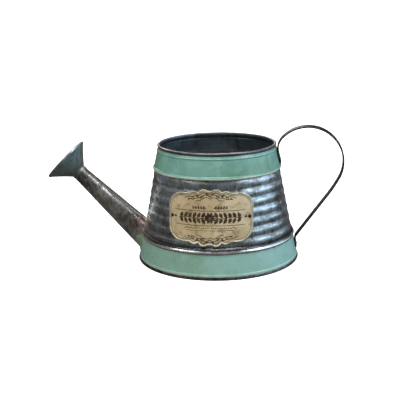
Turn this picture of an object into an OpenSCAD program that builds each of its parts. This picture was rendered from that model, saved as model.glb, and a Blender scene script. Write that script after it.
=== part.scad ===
// Decorative galvanised watering can, millimetres, +Z up.
// The origin is on the can's axis, on the plane that the base stands on.
// The spout points to -X, the handle to +X, and the label faces -Y.

/* [Body] */
// Diameter over the base seam
base_d = 220; // [180:1:270]
// Diameter over the rim bead
rim_d = 160; // [130:1:195]
// Height of the rim bead's centre above the ground
body_h = 156; // [130:1:190]
// Thickness of every piece of sheet metal
sheet_t = 0.8; // [0.5:0.1:1.0]
// Height of the painted lower band's visible part
lower_band_h = 32.5; // [30:0.5:42]
// Height of the painted upper band, from its lower edge to the rim bead's centre
upper_band_h = 31.5; // [28:0.5:38]
// How far neighbouring rings lap over each other
ring_lap = 6; // [5:0.5:8]
// Diameter of the wire in the rim
rim_wire_d = 1.8; // [1.6:0.2:3.2]
// How far the rim bead stands out from the upper band
rim_step = 1.4; // [0.8:0.1:2]
// Radius of the beads along the lower edges of the upper band and the ribbed shell
bead_r = 2.1; // [1.7:0.1:2.6]
// How far those beads stand out
bead_out = 1; // [0.8:0.1:1.3]
// Distance from the rim bead's centre down to the small swage under it
swage_drop = 6; // [5:0.5:8]
// Radius of that swage
swage_r = 1.5; // [1.4:0.05:1.8]
// How far the swage stands out
swage_out = 0.65; // [0.5:0.05:0.7]
// Number of ribs rolled into the middle
rib_count = 7; // [5:1:9]
// Depth of a rib from crest to trough
rib_depth = 0.8; // [0.6:0.1:1.2]
// How far the rib crests lie inside the bands' surface
rib_inset = 1.5; // [1:0.1:2]
// Height of the floor inside the base seam
floor_z = 3; // [2:0.5:4]
// Height of the folded seam round the foot
seam_h = 4.2; // [3:0.1:5]

/* [Spout] */
// Angle of the spout's axis above the ground
spout_rise = 44.3; // [40:0.1:52]
// Height at which the spout's axis crosses the body's wall
spout_root_z = 29.5; // [28:0.5:40]
// Outer diameter of the tube where its axis crosses the wall
spout_root_d = 36.5; // [30:0.5:38]
// Outer diameter of the tube at its tip
spout_tip_d = 20; // [14:0.5:26]
// Length of the axis from the wall to the tip
spout_len = 124.5; // [100:0.5:160]
// Leg of the brazed fillet round the root
braze_leg = 3; // [2:0.5:4]

/* [Rose] */
// Diameter over the crimped edge of the rose
rose_d = 67.5; // [54:0.5:84]
// Length of the rose along its axis, from the tube's tip to the edge of its face
rose_len = 25; // [20:0.5:34]
// Length of the sleeve that laps over the tube's tip
rose_sleeve = 4; // [3:0.5:6]
// Height of the face's shallow dome
rose_dome = 1.6; // [1:0.1:3]
// Length of the crimped edge
rose_crimp = 2.6; // [2:0.1:4]
// Diameter of each water hole
rose_hole_d = 2; // [1.5:0.1:2.6]
// Number of rings of holes round the middle hole
rose_rings = 4; // [2:1:4]

/* [Handle] */
// Width of the strip
handle_w = 15; // [11:0.5:19]
// Thickness of the strip between its hems
handle_t = 1; // [0.8:0.1:1.6]
// Diameter of the hem rolled along each edge
hem_d = 2.4; // [2:0.1:2.8]
// Centreline radius of the loop
loop_r = 46.8; // [39:0.1:56]
// Radius of the bend where the strip leaves the upper band
neck_r = 23.5; // [20:0.5:28]
// Angle through which that bend turns
neck_turn = 58.7; // [49:0.1:64]
// Distance from the rim bead's centre down to the start of that bend
neck_drop = 12.5; // [12:0.5:15]
// Radius of the slow bend from the loop into the straight run
ease_r = 160; // [130:5:200]
// How far outside the loop's circle the straight run passes
ease_out = 1.5; // [0.5:0.1:3]
// Height at which the straight run would meet the wall
foot_z = 27.6; // [25:0.1:33]
// Radius of the bend at the foot
foot_r = 10; // [7:0.5:14]
// Height of the lower tail's end
foot_end_z = 14; // [10:0.5:16]
// Distance from the lower tail's end up to its rivet
foot_rivet_up = 5; // [4:0.5:6]
// Diameter of a rivet's shank
rivet_d = 3.2; // [2.4:0.2:4]
// Diameter of a rivet's head
rivet_head_d = 6.4; // [5.4:0.2:8]
// Height of a rivet's head
rivet_head_h = 1.4; // [1:0.1:2]

/* [Label] */
// Width of the plaque as seen from the front
label_w = 109; // [86:1:130]
// Gap between the plaque's upper crest and the upper band
label_top_gap = 11.1; // [2:0.1:20]
// Gap between the plaque's lower crest and the foot of the ribs
label_low_gap = 4; // [2:0.1:12]
// How far each crest rises above the plaque's straight edge
label_crest = 5; // [4:0.2:7]
// Width of a crest from lobe to lobe
label_crest_w = 40; // [34:1:48]
// Dip between the two middle lobes of the crest
label_dip = 1.6; // [0.8:0.1:2.4]
// Radius of the plaque's corners
label_corner_r = 18; // [10:0.5:19]
// Width of the raised edge
label_edge_w = 1.8; // [1.4:0.1:3]
// Height of the raised edge over the plaque's face
label_edge_h = 0.6; // [0.4:0.1:1]
// Distance between the two pins as seen from the front
label_pin_span = 98; // [78:1:116]
// Diameter of a pin's shank
label_pin_d = 1.8; // [1.4:0.1:2.4]
// Diameter of a pin's head
label_pin_head_d = 4.4; // [3.6:0.1:5.4]

/* [Hidden] */
$fn = 96;

paint = "#86b8a6";
zinc = "#8c9299";
dark_zinc = "#4a4d52";
copper = "#8a5a40";
tin = "#cdbf9c";

// ---- the body's wall ----

// far enough below the ground to clear the spout's hidden end
big = 60;
shell_z0 = lower_band_h;
shell_z1 = body_h - upper_band_h;
rim_bead_r = rim_wire_d / 2 + sheet_t;
rim_c = [rim_d / 2 - rim_bead_r, body_h];
rib_z0 = shell_z0 + ring_lap;
rib_pitch = (shell_z1 - rib_z0) / rib_count;
rib_steps = 6;

// straight wall line from the foot's outer edge to the rim's outer edge
wall_lean = (base_d - rim_d) / 2 / body_h;
function wall_r(z) = base_d / 2 - wall_lean * z;
// outer surface of the upper band
band_lean = (wall_r(shell_z1) - rim_d / 2 + rim_step) / upper_band_h;
function band_r(z) = wall_r(shell_z1) - band_lean * (z - shell_z1);
// outer surface of the lower band, one sheet inside the folded seam
function foot_band_r(z) = wall_r(z) - sheet_t;
// crests and troughs of the ribs
function crest_r(z) = wall_r(z) - rib_inset;
function rib_r(z) = crest_r(z) - rib_depth * (1 + cos(360 * (z - rib_z0) / rib_pitch)) / 2;

rib_zs = [for (i = [1 : rib_count * rib_steps - 1]) rib_z0 + i * rib_pitch / rib_steps];
shell_outer = concat(
    [[wall_r(shell_z0), shell_z0], [wall_r(rib_z0), rib_z0]],
    [for (z = rib_zs) [rib_r(z), z]],
    [[band_r(shell_z1) - sheet_t, shell_z1],
     [band_r(shell_z1 + ring_lap) - sheet_t, shell_z1 + ring_lap]]
);

// a profile of one sheet's thickness, given the points of its outer side from the bottom up
module sheet_profile(outer) {
    n = len(outer);
    inner = [for (i = [n - 1 : -1 : 0]) [outer[i][0] - sheet_t, outer[i][1]]];
    polygon(concat(outer, inner));
}

// replaces a short stretch of a sheet by a rolled bead; side is the point on the sheet's outer side,
// and lean is how much the sheet's radius drops for each millimetre of height
module rolled_bead(side, r, out, lean) {
    c = [side[0] + out - r, side[1]];
    mid_x = side[0] - sheet_t / 2;
    reach = 2 * r;
    difference() {
        children();
        translate(c) circle(r = r - sheet_t);
    }
    intersection() {
        difference() {
            translate(c) circle(r = r);
            translate(c) circle(r = r - sheet_t);
        }
        polygon([
            [mid_x + lean * reach, side[1] - reach], [side[0] + reach, side[1] - reach],
            [side[0] + reach, side[1] + reach], [mid_x - lean * reach, side[1] + reach]
        ]);
    }
}

// ---- rings of the body ----

module upper_band_profile() {
    bead_z = shell_z1 + bead_r;
    swage_z = body_h - swage_drop;
    difference() {
        union() {
            rolled_bead([band_r(bead_z), bead_z], bead_r, bead_out, band_lean)
                rolled_bead([band_r(swage_z), swage_z], swage_r, swage_out, band_lean)
                    sheet_profile([[band_r(shell_z1), shell_z1], [band_r(body_h), body_h]]);
            translate(rim_c) circle(r = rim_bead_r);
        }
        translate(rim_c) circle(d = rim_wire_d);
    }
}

module upper_band() {
    color(paint) difference() {
        rotate_extrude() upper_band_profile();
        rivet_holes();
    }
}

module rim_wire() {
    color(dark_zinc) rotate_extrude() translate(rim_c) circle(d = rim_wire_d);
}

module shell_profile() {
    bead_z = shell_z0 + bead_r;
    rolled_bead([wall_r(bead_z), bead_z], bead_r, bead_out, wall_lean) sheet_profile(shell_outer);
}

module ribbed_shell() {
    color(zinc) difference() {
        rotate_extrude() shell_profile();
        spout_cone(0);
        label_pin_holes();
    }
}

module lower_band() {
    color(paint) difference() {
        rotate_extrude()
            sheet_profile([
                [foot_band_r(sheet_t), sheet_t],
                [foot_band_r(shell_z0 + ring_lap), shell_z0 + ring_lap]
            ]);
        spout_cone(0);
        rivet_holes();
    }
}

// floor, inner skirt, folded edge and outer skirt in one sheet
module base_disc() {
    t = sheet_t;
    low = floor_z - t;
    color(dark_zinc) rotate_extrude()
        polygon([
            [0, floor_z], [wall_r(floor_z) - 2 * t, floor_z],
            [wall_r(t) - 2 * t, t], [wall_r(t) - t, t],
            [wall_r(seam_h) - t, seam_h], [wall_r(seam_h), seam_h],
            [wall_r(0), 0], [wall_r(0) - 3 * t, 0],
            [wall_r(low) - 3 * t, low], [0, low]
        ]);
}

// the whole body as a filled solid, for trimming what is soldered to its outside
module body_envelope() {
    rotate_extrude() {
        polygon([[0, 0], [wall_r(0), 0], [wall_r(seam_h), seam_h], [0, seam_h]]);
        polygon([
            [0, sheet_t], [foot_band_r(sheet_t), sheet_t],
            [foot_band_r(shell_z0), shell_z0], [0, shell_z0]
        ]);
        polygon(concat([[0, shell_z0]], shell_outer, [[0, shell_z1 + ring_lap]]));
        bead_z = shell_z0 + bead_r;
        translate([wall_r(bead_z) + bead_out - bead_r, bead_z]) circle(r = bead_r);
    }
}

// the space inside the body's walls
module body_inside() {
    deep = rib_inset + rib_depth + sheet_t;
    lap_top = shell_z0 + ring_lap;
    rotate_extrude()
        polygon([
            [0, -big], [wall_r(-big) - 2 * sheet_t, -big],
            [wall_r(lap_top) - 2 * sheet_t, lap_top],
            [wall_r(lap_top) - deep, lap_top],
            [wall_r(body_h) - deep, body_h], [0, body_h]
        ]);
}

// ---- spout and rose; local Z runs out along the spout's axis from the wall ----

spout_taper = (spout_root_d - spout_tip_d) / 2 / spout_len;
spout_tail = spout_root_d * 1.1;
// outer radius of the tube at a distance along its axis
function spout_r(h) = spout_tip_d / 2 + spout_taper * (spout_len - h);

module on_spout(h = 0) {
    translate([-wall_r(spout_root_z), 0, spout_root_z])
        rotate([0, spout_rise - 90, 0])
            translate([0, 0, h])
                children();
}

// the tube's outer surface, made thicker by grow, as a solid from inside the body to the tip
module spout_cone(grow) {
    on_spout(-spout_tail)
        cylinder(h = spout_tail + spout_len, r1 = spout_r(-spout_tail) + grow, r2 = spout_tip_d / 2 + grow);
}

module spout_tube() {
    color(zinc) difference() {
        spout_cone(0);
        on_spout(-spout_tail - 1)
            cylinder(
                h = spout_tail + spout_len + 2,
                r1 = spout_r(-spout_tail - 1) - sheet_t,
                r2 = spout_r(spout_len + 1) - sheet_t
            );
        body_inside();
    }
}

module spout_braze() {
    color(copper) difference() {
        intersection() {
            spout_cone(braze_leg);
            rotate_extrude()
                polygon([
                    [0, seam_h], [wall_r(seam_h) + braze_leg, seam_h],
                    [wall_r(body_h) + braze_leg, body_h], [0, body_h]
                ]);
        }
        spout_cone(0);
        body_envelope();
    }
}

// profile of the rose's sheet: sleeve, cone and short lip, from the inside out
module rose_funnel() {
    t = sheet_t;
    sleeve_r = spout_r(spout_len - rose_sleeve);
    tip_r = spout_tip_d / 2;
    lip_r = rose_d / 2 - 2 * t;
    lip_z = rose_len - rose_crimp;
    color(dark_zinc) on_spout(spout_len) rotate_extrude()
        polygon([
            [sleeve_r, -rose_sleeve], [sleeve_r + t, -rose_sleeve],
            [tip_r + t, 0], [lip_r + t, lip_z], [lip_r + t, rose_len - t],
            [lip_r, rose_len - t], [lip_r, lip_z], [tip_r, 0]
        ]);
}

// domed, perforated face; its edge is crimped round the funnel's lip
module rose_face() {
    t = sheet_t;
    edge_r = rose_d / 2;
    seat_r = edge_r - 3 * t;
    dome_r = (seat_r * seat_r + rose_dome * rose_dome) / (2 * rose_dome);
    ring_step = seat_r / (rose_rings + 0.8);
    color(dark_zinc) on_spout(spout_len) difference() {
        union() {
            rotate_extrude()
                polygon([
                    [seat_r - 1, rose_len - t], [edge_r - t, rose_len - t],
                    [edge_r - t, rose_len - rose_crimp], [edge_r, rose_len - rose_crimp],
                    [edge_r, rose_len], [seat_r - 1, rose_len]
                ]);
            translate([0, 0, rose_len - t]) intersection() {
                difference() {
                    translate([0, 0, t + rose_dome - dome_r]) sphere(r = dome_r);
                    translate([0, 0, rose_dome - dome_r]) sphere(r = dome_r);
                }
                cylinder(h = 2 * rose_dome + t, r = seat_r - 0.5);
            }
        }
        cylinder(h = 2 * rose_len, d = rose_hole_d, $fn = 24);
        for (ring = [1 : rose_rings])
            for (i = [0 : 6 * ring - 1])
                rotate(360 * (i + ring / 2) / (6 * ring))
                    translate([ring * ring_step, 0, 0])
                        cylinder(h = 2 * rose_len, d = rose_hole_d, $fn = 24);
    }
}

// small fillet of solder between the sleeve's end and the tube
module rose_solder() {
    leg = 2 * sheet_t;
    h0 = spout_len - rose_sleeve;
    color(tin) on_spout() rotate_extrude()
        polygon([[spout_r(h0), h0], [spout_r(h0) + sheet_t, h0], [spout_r(h0 - leg), h0 - leg]]);
}

// ---- handle; its path lies in the plane of X and Z ----

hem_r = hem_d / 2;
// the hems rest on a wall of radius r and of this lean when the strip's middle is this far from the axis
function strip_x(r, lean) = sqrt(r * r - pow(handle_w / 2 - hem_d, 2)) + hem_r * norm([1, lean]);
function on_band(z) = [strip_x(band_r(z), band_lean), z];
function on_foot(z) = [strip_x(foot_band_r(z), wall_lean), z];
function angle_of(v) = atan2(v[1], v[0]);
function left_of(a) = [-sin(a), cos(a)];
function along(a) = [cos(a), sin(a)];

// upper tail, straight up the band, then the neck bend, then the loop
neck_start = on_band(body_h - neck_drop);
tail_low = on_band(shell_z1 + 2 * bead_r + 1);
tail_a = angle_of(neck_start - tail_low);
neck_c = neck_start - neck_r * left_of(tail_a);
loop_a0 = tail_a - neck_turn;
loop_c = neck_c - (loop_r - neck_r) * left_of(loop_a0);
// straight run, which passes outside the loop's circle, down to the foot bend
foot_p = on_foot(foot_z);
foot_end = on_foot(foot_end_z);
foot_a = angle_of(foot_p - foot_end);
foot_to_c = loop_c - foot_p;
run_off = loop_r + ease_out;
run_len = sqrt(foot_to_c * foot_to_c - run_off * run_off);
run_a = angle_of(foot_to_c) - atan2(run_off, run_len);
// slow bend that touches the loop's circle inside itself and ends in the run
ease_gap = ease_r - loop_r;
ease_turn = acos(1 - ease_out / ease_gap);
ease_c = loop_c + ease_gap * (cos(ease_turn) * left_of(run_a) - sin(ease_turn) * along(run_a));
foot_lead = foot_r * tan((foot_a - run_a) / 2);
foot_c = foot_p - foot_lead * along(foot_a) - foot_r * left_of(foot_a);

// points of an arc whose tangent turns from angle a0 to a1; r is below zero where it turns left
function arc_points(c, r, a0, a1) =
    let (n = ceil(abs(a1 - a0) / 4))
    [for (i = [0 : n]) c + r * left_of(a0 + (a1 - a0) * i / n)];

// the strip's path from the foot round to the upper tail, moved sideways to its left by side
function strip_path(side) = concat(
    [foot_end + side * left_of(foot_a)],
    arc_points(foot_c, foot_r + side, foot_a, run_a),
    arc_points(ease_c, side - ease_r, run_a, run_a + ease_turn),
    arc_points(loop_c, side - loop_r, run_a + ease_turn, loop_a0 + 180),
    arc_points(neck_c, side - neck_r, loop_a0 + 180, tail_a + 180),
    [tail_low - side * left_of(tail_a)]
);

// stretch of the strip from one Y to another, with this thickness
module strip_layer(y0, y1, thick) {
    near = strip_path(thick / 2);
    far = strip_path(-thick / 2);
    n = len(far);
    translate([0, y1, 0])
        rotate([90, 0, 0])
            linear_extrude(height = y1 - y0)
                polygon(concat(near, [for (i = [n - 1 : -1 : 0]) far[i]]));
}

module handle_strip() {
    hem_y = handle_w / 2 - hem_d;
    color(dark_zinc) difference() {
        union() {
            strip_layer(-hem_y - hem_r, hem_y + hem_r, handle_t);
            strip_layer(hem_y, handle_w / 2, hem_d);
            strip_layer(-handle_w / 2, -hem_y, hem_d);
        }
        rivet_holes();
    }
}

upper_rivet_z = (body_h - neck_drop + shell_z1 + 2 * bead_r) / 2;
lower_rivet_z = foot_end_z + foot_rivet_up;

// local Z points out of the wall, square to the tail, with its zero on the wall's outer surface
module on_wall(r, z, a) {
    translate([r, 0, z])
        rotate([0, 180 - a, 0])
            children();
}
module at_upper_rivet() {
    on_wall(band_r(upper_rivet_z), upper_rivet_z, tail_a) children();
}
module at_lower_rivet() {
    on_wall(foot_band_r(lower_rivet_z), lower_rivet_z, foot_a) children();
}

module rivet_holes() {
    at_upper_rivet() cylinder(h = 12, d = rivet_d, center = true);
    at_lower_rivet() cylinder(h = 12, d = rivet_d, center = true);
}

// shallow domed head standing on the plane of zero height
module dome_head(d, h) {
    r = (d * d / 4 + h * h) / (2 * h);
    intersection() {
        translate([0, 0, h - r]) sphere(r = r);
        cylinder(h = 2 * h, d = d);
    }
}

// shank through strip and wall, a head on the strip and an upset head inside the wall;
// strip_mid is the strip's middle as a point of its path, r and lean are the wall's
module rivet(strip_mid, r, lean) {
    strip_top = (strip_mid[0] - r) / norm([1, lean]) + handle_t / 2;
    inside = sheet_t + 0.1;
    translate([0, 0, -inside]) cylinder(h = inside + strip_top, d = rivet_d);
    translate([0, 0, strip_top]) dome_head(rivet_head_d, rivet_head_h);
    translate([0, 0, -inside]) mirror([0, 0, 1]) dome_head(rivet_head_d, rivet_head_h);
}

module handle_rivets() {
    color(zinc) {
        at_upper_rivet() rivet(on_band(upper_rivet_z), band_r(upper_rivet_z), band_lean);
        at_lower_rivet() rivet(on_foot(lower_rivet_z), foot_band_r(lower_rivet_z), wall_lean);
    }
}

// ---- label ----

label_t = sheet_t;
// the plaque, its crests included, stands between its two gaps
label_z0 = rib_z0 + label_low_gap;
label_z1 = shell_z1 - label_top_gap;
label_z = (label_z0 + label_z1) / 2;
label_h = label_z1 - label_z0 - 2 * label_crest;
lobe_r = label_crest_w / 5;
// sideways place and height of the crest's lobes, from its middle outwards
crest_lobes = [
    [0, label_crest - label_dip], [lobe_r, label_crest], [label_crest_w / 2, label_crest / 2]
];

// rectangle with round corners
module soft_rect(w, h, r) {
    square([w - 2 * r, h], center = true);
    square([w, h - 2 * r], center = true);
    for (x = [-1, 1])
        for (y = [-1, 1])
            translate([x * (w / 2 - r), y * (h / 2 - r)])
                circle(r = r, $fn = 32);
}

// round-cornered outline with a crest above and below: two lobes in the middle, a lower one each side
module label_outline(inset) {
    soft_rect(label_w - 2 * inset, label_h - 2 * inset, label_corner_r - inset);
    for (side = [-1, 1])
        for (x = [-1, 1])
            for (lobe = crest_lobes)
                translate([x * lobe[0], side * (label_h / 2 + lobe[1] - lobe_r)])
                    circle(r = lobe_r - inset);
}

// the layer of a conical sheet on the rib crests, from one height over them to another
module crest_layer(h0, h1) {
    z0 = shell_z0;
    z1 = shell_z1;
    rotate_extrude()
        polygon([
            [crest_r(z0) + h0, z0], [crest_r(z0) + h1, z0],
            [crest_r(z1) + h1, z1], [crest_r(z1) + h0, z1]
        ]);
}

module towards_front() {
    translate([0, 0, label_z]) rotate([90, 0, 0]) linear_extrude(height = base_d) children();
}

module label_plate() {
    color(tin) difference() {
        union() {
            intersection() {
                crest_layer(0, label_t);
                towards_front() label_outline(0);
            }
            intersection() {
                crest_layer(label_t, label_t + label_edge_h);
                towards_front() difference() {
                    label_outline(0);
                    label_outline(label_edge_w);
                }
            }
        }
        label_pin_holes();
    }
}

label_pin_a = asin(label_pin_span / 2 / crest_r(label_z));

// local Z points out of the wall, square to it, with its zero on the rib crests
module at_label_pins() {
    for (side = [-1, 1])
        rotate(-90 + side * label_pin_a)
            translate([crest_r(label_z), 0, label_z])
                rotate([0, 90 - atan(wall_lean), 0])
                    children();
}

module label_pin_holes() {
    at_label_pins() cylinder(h = 16, d = label_pin_d, center = true);
}

// small nail: domed head on the plaque, shank through the shell, end clenched inside
module label_pins() {
    wall = rib_depth + 2 * sheet_t + 1;
    color(dark_zinc) at_label_pins() {
        translate([0, 0, -wall]) cylinder(h = wall + label_t, d = label_pin_d);
        translate([0, 0, label_t]) dome_head(label_pin_head_d, label_pin_head_d * 0.28);
    }
}

upper_band();
rim_wire();
ribbed_shell();
lower_band();
base_disc();
spout_tube();
spout_braze();
rose_funnel();
rose_face();
rose_solder();
handle_strip();
handle_rivets();
label_plate();
label_pins();
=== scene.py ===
"""Galvanised watering can: its looks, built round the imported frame.

Everything is in the frame's own axes: +Z up, the spout towards -X, the handle towards +X and the
plaque facing -Y. Lengths are millimetres until a mesh is made, and metres from then on.
"""
import math
from math import atan2, cos, degrees, hypot, pi, radians, sin, sqrt

import bmesh
import bpy
from mathutils import Matrix, Vector, noise


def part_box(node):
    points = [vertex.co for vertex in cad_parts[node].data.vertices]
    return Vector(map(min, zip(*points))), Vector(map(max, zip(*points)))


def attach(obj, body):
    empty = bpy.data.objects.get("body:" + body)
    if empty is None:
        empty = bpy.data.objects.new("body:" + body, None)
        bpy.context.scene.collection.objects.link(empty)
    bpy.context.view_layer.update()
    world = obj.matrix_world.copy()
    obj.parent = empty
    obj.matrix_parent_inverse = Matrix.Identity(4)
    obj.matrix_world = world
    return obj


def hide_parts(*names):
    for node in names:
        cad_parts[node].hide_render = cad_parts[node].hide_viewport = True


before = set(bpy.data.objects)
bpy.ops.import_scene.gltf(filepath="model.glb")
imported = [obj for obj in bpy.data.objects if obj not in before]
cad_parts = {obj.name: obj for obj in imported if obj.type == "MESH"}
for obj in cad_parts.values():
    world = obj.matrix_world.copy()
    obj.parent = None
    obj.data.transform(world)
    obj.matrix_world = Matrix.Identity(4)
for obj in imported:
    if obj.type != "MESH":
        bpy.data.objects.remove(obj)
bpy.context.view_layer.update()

MM = 0.001
UP = Vector((0, 0, 1))


def box_mm(node):
    lo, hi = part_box(node)
    return [v / MM for v in lo], [v / MM for v in hi]


# ---- sizes: off the frame where a node's box gives them, and otherwise the part's own ----

SHEET = 0.8
base_hi = box_mm("base_disc")[1]
wire_lo, wire_hi = box_mm("rim_wire")
upper_lo = box_mm("upper_band")[0]
shell_lo, shell_hi = box_mm("ribbed_shell")
lower_hi = box_mm("lower_band")[1]
plaque_lo, plaque_hi = box_mm("label_plate")

BASE_R = base_hi[1]
WIRE_R = (wire_hi[2] - wire_lo[2]) / 2
RIM_Z = (wire_hi[2] + wire_lo[2]) / 2
RIM_C = wire_hi[1] - WIRE_R
RIM_R = RIM_C + WIRE_R + SHEET
SHELL_Z0, SHELL_TOP = shell_lo[2], shell_hi[2]
BAND_Z = upper_lo[2]
LAP_Z = lower_hi[2]
SEAM_H = base_hi[2]
LEAN = (BASE_R - RIM_R) / RIM_Z
RIM_STEP = 1.4
BEAD_R, BEAD_OUT = 2.1, 1.0
SWAGE_R, SWAGE_OUT = 1.5, 0.65
SWAGE_DROP = 6.0
RIBS, RIB_DEPTH, RIB_INSET = 7, 0.8, 1.5
RIB_PITCH = (BAND_Z - LAP_Z) / RIBS
FLOOR_Z = 3.0
SEAM_ANGLE = radians(90)


def wall_r(z):
    """Radius of the cone that the bands' outer surface follows."""
    return BASE_R - LEAN * z


BAND_LEAN = (wall_r(BAND_Z) - RIM_R + RIM_STEP) / (RIM_Z - BAND_Z)


def band_r(z):
    """Radius of the upper band, which leans a little more, so that the rim stands out from it."""
    return wall_r(BAND_Z) - BAND_LEAN * (z - BAND_Z)


def crest_r(z):
    return wall_r(z) - RIB_INSET


# ---- mesh helpers ----

def link(obj):
    bpy.context.scene.collection.objects.link(obj)
    return obj


def piece(name, verts, faces, sharp=38.0, merge=False):
    """A smooth-shaded mesh object from points in millimetres; sharp is the crease angle in degrees."""
    mesh = bpy.data.meshes.new(name)
    mesh.from_pydata([Vector(v) * MM for v in verts], [], faces)
    bm = bmesh.new()
    bm.from_mesh(mesh)
    if merge:
        bmesh.ops.remove_doubles(bm, verts=bm.verts, dist=1e-7)
        bmesh.ops.dissolve_degenerate(bm, edges=bm.edges, dist=1e-7)
    bmesh.ops.recalc_face_normals(bm, faces=bm.faces)
    bm.to_mesh(mesh)
    bm.free()
    mesh.shade_smooth()
    mesh.set_sharp_from_angle(angle=radians(sharp))
    return link(bpy.data.objects.new(name, mesh))


def grid_faces(rows, cols, wrap_rows=False, wrap_cols=False):
    out = []
    for i in range(rows if wrap_rows else rows - 1):
        for j in range(cols if wrap_cols else cols - 1):
            a, b = i * cols + j, i * cols + (j + 1) % cols
            c, d = ((i + 1) % rows) * cols + (j + 1) % cols, ((i + 1) % rows) * cols + j
            out.append((a, b, c, d))
    return out


def fan(start, count, hub):
    """Triangles from a closed loop of points to one in its middle."""
    return [(start + i, start + (i + 1) % count, hub) for i in range(count)]


def turn_angles(count, extra=SEAM_ANGLE):
    """Angles round the axis, with more of them near the folded side seam."""
    angles = {2 * pi * i / count for i in range(count)}
    if extra is not None:
        angles |= {extra + radians(0.28 * k) for k in range(-9, 10)}
    return sorted(angles)


def lathe(name, profile, angles, shift=None, place=None):
    """Turns a closed profile of (r, z) round the axis; shift(a, r, z) moves a point outwards."""
    verts, faces = [], grid_faces(len(angles), len(profile), True, True)
    for a in angles:
        for r, z in profile:
            out = r + (shift(a, r, z) if shift and r > 0 else 0.0)
            p = Vector((*polar(out, a), z))
            verts.append(place @ p if place else p)
    on_axis = {j for j, (r, _) in enumerate(profile) if r == 0}
    cols = len(profile)
    kept = [f for f in faces if not (f[0] % cols in on_axis and f[1] % cols in on_axis)]
    return piece(name, verts, kept, merge=bool(on_axis))


def smooth(x, lo, hi):
    t = min(1.0, max(0.0, (x - lo) / (hi - lo)))
    return t * t * (3 - 2 * t)


def dents(amount, size, seed):
    """Slow hand-made unevenness of a sheet, in millimetres."""
    def shift(a, r, z):
        p = Vector((*polar(r, a), z)) / size + Vector((seed, 0, 0))
        return amount * noise.noise(p)
    return shift


def side_seam(height, half_width, angle=SEAM_ANGLE):
    """A folded seam that runs up the sheet at one angle."""
    def shift(a, r, z):
        off = abs((a - angle + pi) % (2 * pi) - pi) * r
        return height * (1 - smooth(off, half_width, half_width + 0.9))
    return shift


def both(*shifts):
    return lambda a, r, z: sum(s(a, r, z) for s in shifts)


def sheet(outer):
    """Closed profile of a sheet, from the points of its outer side going up."""
    return outer + [(r - SHEET, z) for r, z in reversed(outer)]


def stroke(path):
    """Closed profile of a sheet that follows a curved centreline."""
    left, right = [], []
    for i, (r, z) in enumerate(path):
        (r0, z0), (r1, z1) = path[max(i - 1, 0)], path[min(i + 1, len(path) - 1)]
        size = hypot(r1 - r0, z1 - z0)
        nr, nz = (z1 - z0) / size * SHEET / 2, -(r1 - r0) / size * SHEET / 2
        left.append((r + nr, z + nz))
        right.append((r - nr, z - nz))
    return left + right[::-1]


def polar(r, a):
    return r * cos(a), r * sin(a)


def steps(lo, hi, size):
    n = max(1, round((hi - lo) / size))
    return [lo + (hi - lo) * i / n for i in range(n + 1)]


def last_inside(inside, lo, hi):
    """Where, between lo and hi, the test stops being true, found by halving."""
    for _ in range(40):
        middle = (lo + hi) / 2
        lo, hi = (middle, hi) if inside(middle) else (lo, middle)
    return lo


def arc(c, r, a0, a1, count):
    spokes = [polar(r, radians(a0 + (a1 - a0) * i / count)) for i in range(count + 1)]
    return [(c[0] + x, c[1] + y) for x, y in spokes]


def bead_bulge(z, middle, radius, out):
    off = abs(z - middle)
    return max(0.0, sqrt(radius ** 2 - off ** 2) - radius + out) if off < radius else 0.0


def cut(obj, cutter, solver="EXACT"):
    """Takes the cutter's space out of the object's mesh."""
    mod = obj.modifiers.new("cut", "BOOLEAN")
    mod.object, mod.operation, mod.solver = cutter, "DIFFERENCE", solver
    graph = bpy.context.evaluated_depsgraph_get()
    mesh = bpy.data.meshes.new_from_object(obj.evaluated_get(graph))
    obj.modifiers.clear()
    obj.data = mesh
    return obj


# ---- node helpers for the materials ----

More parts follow.
